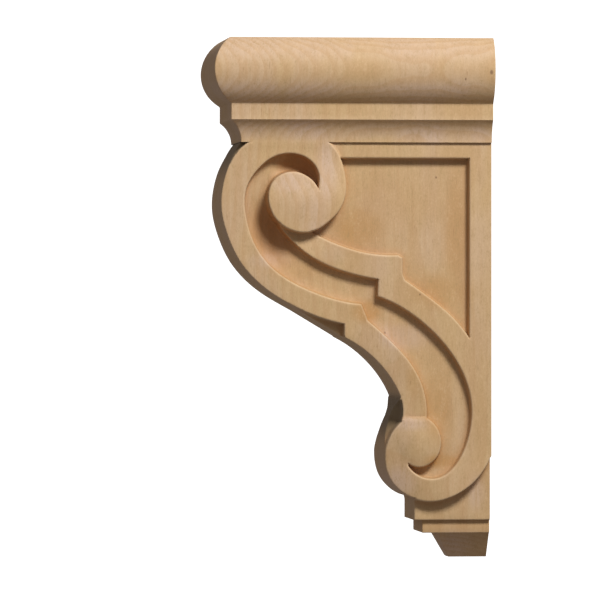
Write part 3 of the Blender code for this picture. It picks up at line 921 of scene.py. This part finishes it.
class Tree:
    """A node tree with short calls for the nodes used here."""

    def __init__(self, tree):
        self.tree = tree

    def node(self, kind, settings=(), inputs=()):
        """Add a node, set its options, and link or set its inputs."""
        node = self.tree.nodes.new(kind)
        for key, value in dict(settings).items():
            setattr(node, key, value)
        for key, value in dict(inputs).items():
            if isinstance(value, bpy.types.NodeSocket):
                self.tree.links.new(value, node.inputs[key])
            else:
                node.inputs[key].default_value = value
        return node

    def math(self, operation, one, two=0.0):
        """One sum on plain values."""
        return self.node("ShaderNodeMath", {"operation": operation}, {0: one, 1: two}).outputs[0]

    def spread(self, value, low, high, out_low=0.0, out_high=1.0):
        """Map a range of values to another, with eased ends."""
        inputs = {"Value": value, "From Min": low, "From Max": high, "To Min": out_low,
                  "To Max": out_high}
        settings = {"interpolation_type": "SMOOTHSTEP"}
        return self.node("ShaderNodeMapRange", settings, inputs).outputs[0]

    def mix(self, share, one, two):
        """Mix two colours."""
        inputs = {0: share, 6: one, 7: two}
        return self.node("ShaderNodeMix", {"data_type": "RGBA"}, inputs).outputs[2]

    def attribute(self, label):
        """One of the masks that the mesh carries."""
        return self.node("ShaderNodeAttribute", {"attribute_name": label}).outputs["Fac"]

    def noise(self, place, scales, detail, rough=0.5, distort=0.0):
        """Noise, as one value round 0.5, of a place scaled along X, Y and Z."""
        scaled = self.node("ShaderNodeMapping", (), {"Vector": place, "Scale": scales}).outputs[0]
        inputs = {"Vector": scaled, "Scale": 1.0, "Detail": detail, "Roughness": rough,
                  "Distortion": distort}
        return self.node("ShaderNodeTexNoise", (), inputs).outputs[0]


def new_group(name, inputs, outputs):
    """An empty node group with the given sockets."""
    group = bpy.data.node_groups.new(name, "ShaderNodeTree")
    for label, kind in inputs:
        group.interface.new_socket(label, in_out="INPUT", socket_type=kind)
    for label, kind in outputs:
        group.interface.new_socket(label, in_out="OUTPUT", socket_type=kind)
    start = group.nodes.new("NodeGroupInput")
    end = group.nodes.new("NodeGroupOutput")
    return group, start, end


# %% [markdown]
# ## Grain
#
# The grain is a node group, so that any material can use it, and it puts out only masks. A
# ring darkens slowly and ends sharply, as late wood does. Fibre streaks and pores are drawn
# out along the grain, and blotches, flecks and speckle stand for all that is uneven in a
# block sanded by hand.

# %% Growth rings and pores
VALUE, VECTOR = "NodeSocketFloat", "NodeSocketVector"
TREE_AXIS = (0.160, 0.045)   # metres from the tree's axis to the middle of the block's back
TREE_LEAN = 0.035
RINGS_TO_A_METRE = 330.0


def make_grain():
    """Rings, fibre streaks, pores, blotches and fine speckle from a place in metres."""
    group, start, end = new_group("upright grain", [("Place", VECTOR)], [
        ("Ring", VALUE), ("Streak", VALUE), ("Pore", VALUE), ("Blotch", VALUE), ("Fleck", VALUE),
        ("Speckle", VALUE)])
    tree = Tree(group)
    place = start.outputs[0]
    wander = tree.noise(place, (18.0, 18.0, 4.0), 2.0)
    parts = tree.node("ShaderNodeSeparateXYZ", (), {0: place}).outputs
    from_axis_x = tree.math("ADD", parts[0], TREE_AXIS[0])
    lean = tree.math("MULTIPLY", parts[2], TREE_LEAN)
    from_axis_y = tree.math("ADD", tree.math("ADD", parts[1], TREE_AXIS[1]), lean)
    squares = [tree.math("MULTIPLY", part, part) for part in (from_axis_x, from_axis_y)]
    ring = tree.math("MULTIPLY", tree.math("SQRT", tree.math("ADD", *squares)), RINGS_TO_A_METRE)
    saw = tree.math("FRACT", tree.math("ADD", ring, tree.math("MULTIPLY", wander, 5.0)))
    late = tree.math("MULTIPLY", tree.spread(saw, 0.25, 0.88), tree.spread(saw, 1.0, 0.92))
    streak = tree.noise(place, (620.0, 620.0, 17.0), 3.0, 0.55, 0.3)
    pore = tree.noise(place, (2100.0, 2100.0, 130.0), 2.0, 0.6)
    blotch = tree.noise(place, (34.0, 34.0, 13.0), 2.0, 0.5, 0.4)
    fleck = tree.noise(place, (520.0, 520.0, 120.0), 1.0, 0.4)
    fleck = tree.spread(fleck, 0.735, 0.80)
    fine = tree.noise(place, (1050.0, 1050.0, 620.0), 2.0, 0.7)
    cloud = tree.noise(place, (260.0, 260.0, 110.0), 2.0, 0.6)
    speckle = tree.math("ADD", tree.math("MULTIPLY", fine, 0.6), tree.math("MULTIPLY", cloud, 0.4))
    for k, value in enumerate((late, streak, pore, blotch, fleck, speckle)):
        group.links.new(value, end.inputs[k])
    return group


grain_group = make_grain()
print("grain:", len(grain_group.nodes), "nodes")

# %% [markdown]
# The wood has a few marks that noise can't place: two pin knots at the wall end of the bead,
# and three small dark flecks. Each is a soft dot round a named point of the drawing, so it
# stays where it is when the grain is changed.

# %% Pin knots and flecks
PIN_MARKS = ((2.6, 307.9, 1.5), (19.0, 303.5, 0.8), (34.7, 241.9, 0.8), (45.8, 167.6, 0.7),
             (67.5, 143.3, 0.8))


def make_pin_marks():
    """Soft dots on the right side, taller than wide: 1 up to 0.3 of the radius, then eased to 0."""
    group, start, end = new_group("pin marks", [("Place", VECTOR)], [("Mark", VALUE)])
    tree = Tree(group)
    flat = tree.node("ShaderNodeVectorMath", {"operation": "MULTIPLY"},
                     {0: start.outputs[0], 1: (0.0, 1.0, 0.7)}).outputs[0]
    found = None
    for reach, height, radius in PIN_MARKS:
        centre = (0.0, -reach * MM, (height - HEIGHT / 2) * MM * 0.7)
        far = tree.node("ShaderNodeVectorMath", {"operation": "DISTANCE"},
                        {0: flat, 1: centre}).outputs["Value"]
        dot = tree.spread(far, radius * MM, 0.3 * radius * MM)
        found = dot if found is None else tree.math("MAXIMUM", found, dot)
    across = tree.node("ShaderNodeSeparateXYZ", (), {0: start.outputs[0]}).outputs[0]
    right_side = tree.math("GREATER_THAN", across, 0.02)
    group.links.new(tree.math("MULTIPLY", found, right_side), end.inputs[0])
    return group


pin_group = make_pin_marks()
print("pin marks:", len(PIN_MARKS))

# %% [markdown]
# ## Colours of the wood
#
# The material lays the masks over a pale ground one after the other: the tints, the rings
# and the fine grain first, then worn arrises and painted shade. The tints are stains with a
# painted sheen and painted shade on the cap and the tail; the painted shade lies at the feet
# of the walls and in the hooks, with some dust, and on the front under the cap and in the
# throat. Roughness is one plain number, because bare sanded wood is dull all over, and the
# bump is a few hundredths of a millimetre.

# %% Wood material
PALE = (0.540, 0.362, 0.180, 1.0)
WARM = (0.480, 0.290, 0.136, 1.0)
ROSY = (0.575, 0.408, 0.284, 1.0)
AMBER = (0.480, 0.268, 0.098, 1.0)
OLIVE = (0.380, 0.250, 0.105, 1.0)
LIGHT = (0.680, 0.480, 0.280, 1.0)
KNOT = (0.150, 0.075, 0.035, 1.0)
DARK = (0.300, 0.165, 0.075, 1.0)
WORN = (0.780, 0.600, 0.400, 1.0)
WARM_SHADE_AND_DUST = (0.380, 0.155, 0.040, 1.0)
PAINTED_SHADE_DARK = (0.190, 0.145, 0.080, 1.0)


def make_wood():
    """Bare sanded hardwood: grain colours, stains, worn arrises, painted shade in corners and fine
    pores.
    """
    wood = bpy.data.materials.new("pale_hardwood")
    wood.use_nodes = True
    tree = Tree(wood.node_tree)
    shader = wood.node_tree.nodes["Principled BSDF"]
    place = tree.node("ShaderNodeTexCoord").outputs["Object"]
    grain = tree.node("ShaderNodeGroup", {"node_tree": grain_group}, {0: place}).outputs
    uneven = tree.spread(grain["Blotch"], 0.28, 0.60, 0.40, 1.25)
    colour = tree.mix(tree.spread(grain["Blotch"], 0.38, 0.70, 0.0, 0.45), PALE, ROSY)
    for label, tint in (("rosy", ROSY), ("amber", AMBER)):
        stain = tree.math("MULTIPLY", tree.attribute(label), uneven)
        colour = tree.mix(tree.math("MINIMUM", stain, 1.0), colour, tint)
    colour = tree.mix(tree.math("MULTIPLY", grain["Ring"], 0.40), colour, WARM)
    colour = tree.mix(tree.spread(grain["Streak"], 0.42, 0.78, 0.0, 0.42), colour, WARM)
    colour = tree.mix(tree.spread(grain["Pore"], 0.58, 0.78, 0.0, 0.42), colour, DARK)
    colour = tree.mix(tree.math("MULTIPLY", grain["Fleck"], 0.35), colour, DARK)
    colour = tree.mix(tree.spread(grain["Speckle"], 0.50, 0.70, 0.0, 0.50), colour, OLIVE)
    colour = tree.mix(tree.spread(grain["Speckle"], 0.50, 0.30, 0.0, 0.36), colour, LIGHT)
    mark_share = tree.node("ShaderNodeGroup", {"node_tree": pin_group}, {0: place}).outputs["Mark"]
    colour = tree.mix(tree.math("MULTIPLY", mark_share, 0.7), colour, KNOT)
    # Worn arrises, then painted shade with some dust at the wall feet, then painted shade on the
    # front.
    for label, tint, most in (("worn", WORN, 0.22), ("deep", WARM_SHADE_AND_DUST, 0.62), ("painted_shade", PAINTED_SHADE_DARK, 0.85)):
        colour = tree.mix(tree.math("MULTIPLY", tree.attribute(label), most), colour, tint)
    wood.node_tree.links.new(colour, shader.inputs["Base Color"])
    shader.inputs["Roughness"].default_value = 0.62
    shader.inputs["Specular IOR Level"].default_value = 0.3
    relief = tree.math("ADD", tree.math("MULTIPLY", grain["Streak"], 0.7),
                       tree.math("MULTIPLY", grain["Pore"], 0.3))
    bump = tree.node("ShaderNodeBump", (), {"Strength": 0.22, "Distance": 0.0006,
                                            "Height": relief}).outputs[0]
    wood.node_tree.links.new(bump, shader.inputs["Normal"])
    return wood


corbel.data.materials.append(make_wood())
print("wood:", len(corbel.data.materials[0].node_tree.nodes), "nodes")

# %% [markdown]
# ## Light
#
# The shadows in the carving fall down and to the left: a wall 5.8 mm high throws its shadow
# 5.5 mm down and 2.5 mm to the left. That gives the direction of a broad light above, right
# and in front. The head of the bracket is also a little brighter than its foot, so the light
# isn't a sun but a soft disc at 1.9 m. It looks 16 degrees wide from there, which gives the
# shadows their soft edges.

# %% Light
TO_LIGHT = Vector((0.70, 0.30, 0.66)).normalized()
LIGHT_AWAY = 1.9
LIGHT_WIDTH = math.radians(16.0)
KEY_STRENGTH = 3.42   # watts to the square metre that reach the bracket
SKY_STRENGTH = 0.238
key = bpy.data.lights.new("key", "AREA")
key.shape = "DISK"
key.size = 2 * LIGHT_AWAY * math.tan(LIGHT_WIDTH / 2)
key.energy = KEY_STRENGTH * math.pi * LIGHT_AWAY ** 2
key_object = bpy.data.objects.new("key", key)
key_object.location = Vector((0.0, -0.089, 0.03)) + TO_LIGHT * LIGHT_AWAY
key_object.rotation_euler = TO_LIGHT.to_track_quat("Z", "Y").to_euler()
bpy.context.scene.collection.objects.link(key_object)
sky = bpy.data.worlds.new("soft room")
sky.use_nodes = True
sky_inputs = sky.node_tree.nodes["Background"].inputs
sky_inputs["Color"].default_value = (1.0, 0.92, 0.90, 1.0)
sky_inputs["Strength"].default_value = SKY_STRENGTH
bpy.context.scene.world = sky
bpy.context.scene.view_settings.view_transform = "Standard"
print("light at", [round(v, 2) for v in key_object.location])

# %% [markdown]
# ## Ground
#
# The ground of the picture is plain white. A sheet that runs along below and curves up behind
# makes it. It is hidden from the wood, because light thrown back by a white sheet would
# flatten the shadows in the carving.

# %% Floor and backdrop


def make_sweep():
    """A pale sheet flat on the ground that turns up behind along a quarter circle of 1.2 m."""
    turn = np.radians(np.linspace(0, 90, 16))
    bend = np.stack([-2.6 - 1.2 * np.sin(turn), -0.7 + 1.2 * (1 - np.cos(turn))], 1)
    line = np.vstack([[(3.0, -0.7)], bend, [(-3.8, 4.5)]])
    spots = np.array([[(x, y, z) for y in (-6.0, 6.0)] for x, z in line])
    flat, quads = sheet(spots)
    sweep = bpy.data.meshes.new("backdrop")
    sweep.from_pydata(flat.tolist(), [], quads.tolist())
    sweep.shade_smooth()
    paper = bpy.data.materials.new("paper")
    paper.use_nodes = True
    inputs = paper.node_tree.nodes["Principled BSDF"].inputs
    inputs["Base Color"].default_value = (1, 1, 1, 1)
    inputs["Roughness"].default_value = 0.9
    inputs["Emission Color"].default_value = (1, 1, 1, 1)
    inputs["Emission Strength"].default_value = 0.9
    sweep.materials.append(paper)
    backdrop = bpy.data.objects.new("backdrop", sweep)
    bpy.context.scene.collection.objects.link(backdrop)
    backdrop.visible_diffuse = False
    backdrop.visible_glossy = False


make_sweep()

# %% [markdown]
# ## Camera
#
# The side is seen almost square on, turned by 6 degrees so that a strip of the front shows.
# The lens follows from the scale: so many pixels to a millimetre at the near face, 3.5 m away.
# The shifts slide the picture in its frame without tilting the camera, so that what is
# upright stays upright.

# %% Camera
VIEW_TURN = math.radians(83.8)
DISTANCE = 3.5
SCALE = 1.580         # pixels of the picture to a millimetre of the near face
PIXELS = SCALE * 1000 * (DISTANCE - FACE_HALF * MM)
TARGET = Vector((0.0, -0.0889, 0.0))
camera = bpy.data.cameras.new("camera")
camera.sensor_width = 36.0
camera.lens = 36.0 * PIXELS / 600.0
camera.shift_x = -46.4 / 600
camera.shift_y = -1.4 / 600
camera.clip_end = 60.0
camera_object = bpy.data.objects.new("camera", camera)
out = Vector((math.sin(VIEW_TURN), -math.cos(VIEW_TURN), 0.0))
camera_object.location = TARGET + out * DISTANCE
camera_object.rotation_euler = out.to_track_quat("Z", "Y").to_euler()
bpy.context.scene.collection.objects.link(camera_object)
bpy.context.scene.camera = camera_object
print("lens:", round(camera.lens, 1), "mm")
